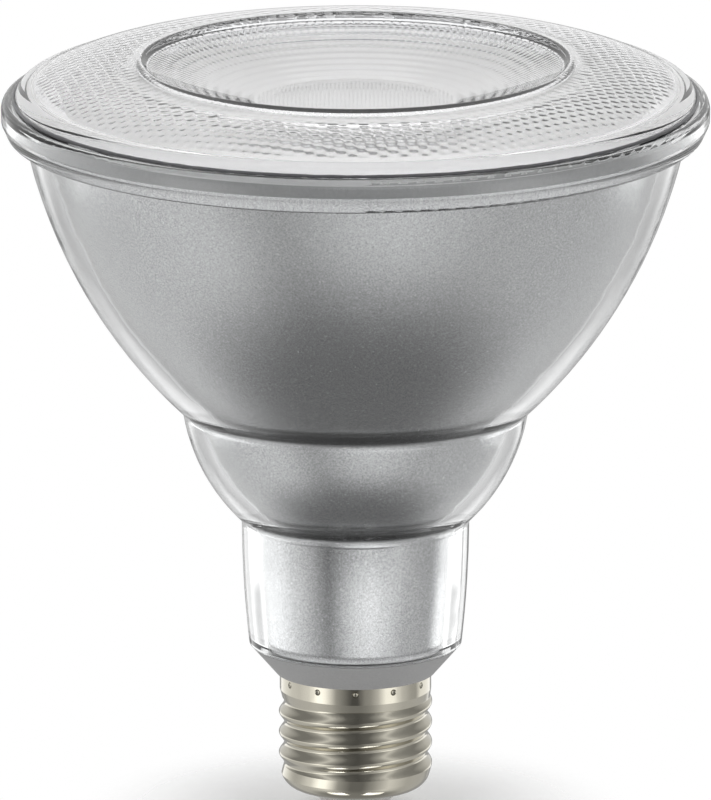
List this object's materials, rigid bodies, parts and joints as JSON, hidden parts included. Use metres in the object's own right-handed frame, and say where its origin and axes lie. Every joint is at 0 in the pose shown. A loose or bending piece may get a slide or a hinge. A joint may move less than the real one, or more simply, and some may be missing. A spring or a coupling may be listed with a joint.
{
  "type": "par spotlight bulb",
  "caption": "Reflector spotlight bulb with a clear glass body, silver inner cup, dished front lens and screw cap.",
  "frame": {"origin": "middle of the centre contact's outer face, at the cap end of the bulb's axis", "axes": "+Z along the bulb's axis from the cap towards the front lens"},
  "size_m": [0.121, 0.121, 0.1325],
  "materials": {
    "clear_glass": "pressed clear glass",
    "clear_lens": "moulded clear acrylic",
    "clear_silicone": "translucent silicone",
    "satin_aluminium": "fine blasted",
    "plain_aluminium": "satin",
    "white_plastic": "matt white",
    "white_board": "white solder mask on aluminium",
    "phosphor": "yellow phosphor in silicone",
    "steel": "zinc plated",
    "grey_plastic": "moulded silver-grey",
    "circuit_board": "green glass-epoxy",
    "black_sleeve": "shrunk sleeve",
    "yellow_film": "dipped film capacitor",
    "blue_epoxy": "dipped epoxy",
    "fuse_body": "lacquered ceramic",
    "ferrite": "sintered ferrite",
    "copper_coil": "enamelled copper wire",
    "black_package": "moulded epoxy",
    "black_wire": "insulated wire",
    "white_wire": "insulated wire",
    "red_wire": "insulated wire",
    "nickel_plate": "bright nickel plate on brass",
    "pale_insulator": "pale moulded insulator",
    "tinned_contact": "tinned brass"
  },
  "bodies": {
    "root": {"glass_body": "clear_glass", "front_lens": "clear_lens", "lens_sealant": "clear_silicone", "heat_cup": "satin_aluminium", "reflector": "white_plastic", "mounting_plate": "plain_aluminium", "led_board": "white_board", "led_packages": "white_plastic", "led_phosphors": "phosphor", "board_screws": "steel", "wire_terminal": "white_plastic", "driver_housing": "grey_plastic", "driver_board": "circuit_board", "bulk_capacitor": "black_sleeve", "film_capacitor": "yellow_film", "surge_disc": "blue_epoxy", "fuse_resistor": "fuse_body", "transformer_core": "ferrite", "transformer_coil": "copper_coil", "bridge_rectifier": "black_package", "control_chip": "black_package", "live_wire": "black_wire", "neutral_wire": "white_wire", "positive_lead": "red_wire", "negative_lead": "black_wire", "screw_shell": "nickel_plate", "base_insulator": "pale_insulator", "centre_contact": "tinned_contact"}
  },
  "joints": []
}
